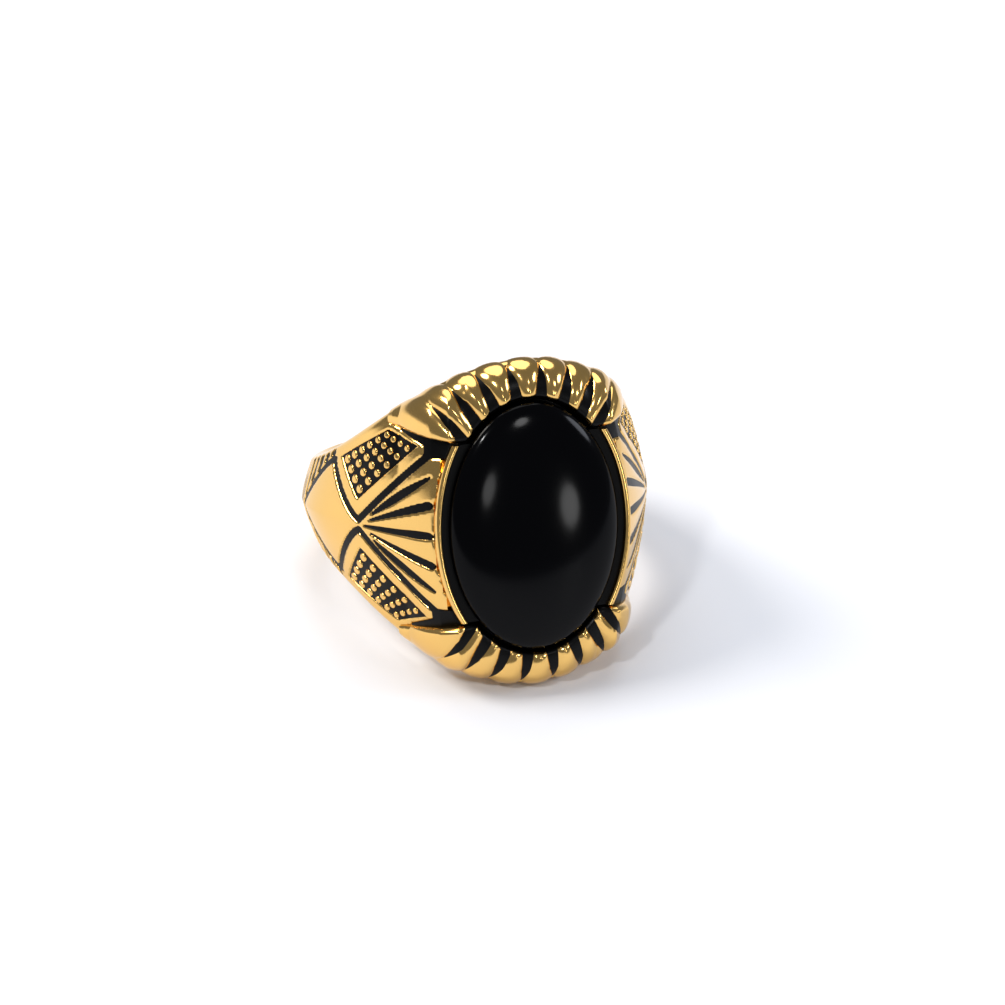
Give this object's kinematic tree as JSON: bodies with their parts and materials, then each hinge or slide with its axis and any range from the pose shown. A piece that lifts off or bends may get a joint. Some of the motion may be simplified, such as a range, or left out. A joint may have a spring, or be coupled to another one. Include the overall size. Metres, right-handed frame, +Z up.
{
  "type": "signet ring",
  "caption": "Polished gold-tone signet ring with an oval black cabochon, black-filled engraved shoulders and ribbed collars over both ends of the oval.",
  "frame": {"origin": "middle of the finger hole, on its axis", "axes": "+Z is up from the table that the ring lies on, on its side; the stone looks towards -Y and is tipped up; +X is to the right, facing the stone. The finger axis lies in the YZ plane and leans back from +Z."},
  "size_m": [0.024, 0.0268, 0.0209],
  "materials": {
    "polished_gold": "mirror polished gold-tone plating",
    "black_stone": "polished opaque black",
    "black_enamel": "glossy black fill, slightly uneven",
    "black_cement": "satin black"
  },
  "bodies": {
    "root": {"shank": "polished_gold", "bezel_rim": "polished_gold", "stone": "black_stone", "stone_cement": "black_cement", "upper_collar": "polished_gold", "lower_collar": "polished_gold", "upper_collar_enamel": "black_enamel", "lower_collar_enamel": "black_enamel", "left_ray_enamel": "black_enamel", "right_ray_enamel": "black_enamel", "left_dot_enamel": "black_enamel", "right_dot_enamel": "black_enamel", "left_flute_enamel": "black_enamel", "right_flute_enamel": "black_enamel", "left_pocket_enamel": "black_enamel", "right_pocket_enamel": "black_enamel"}
  },
  "joints": []
}
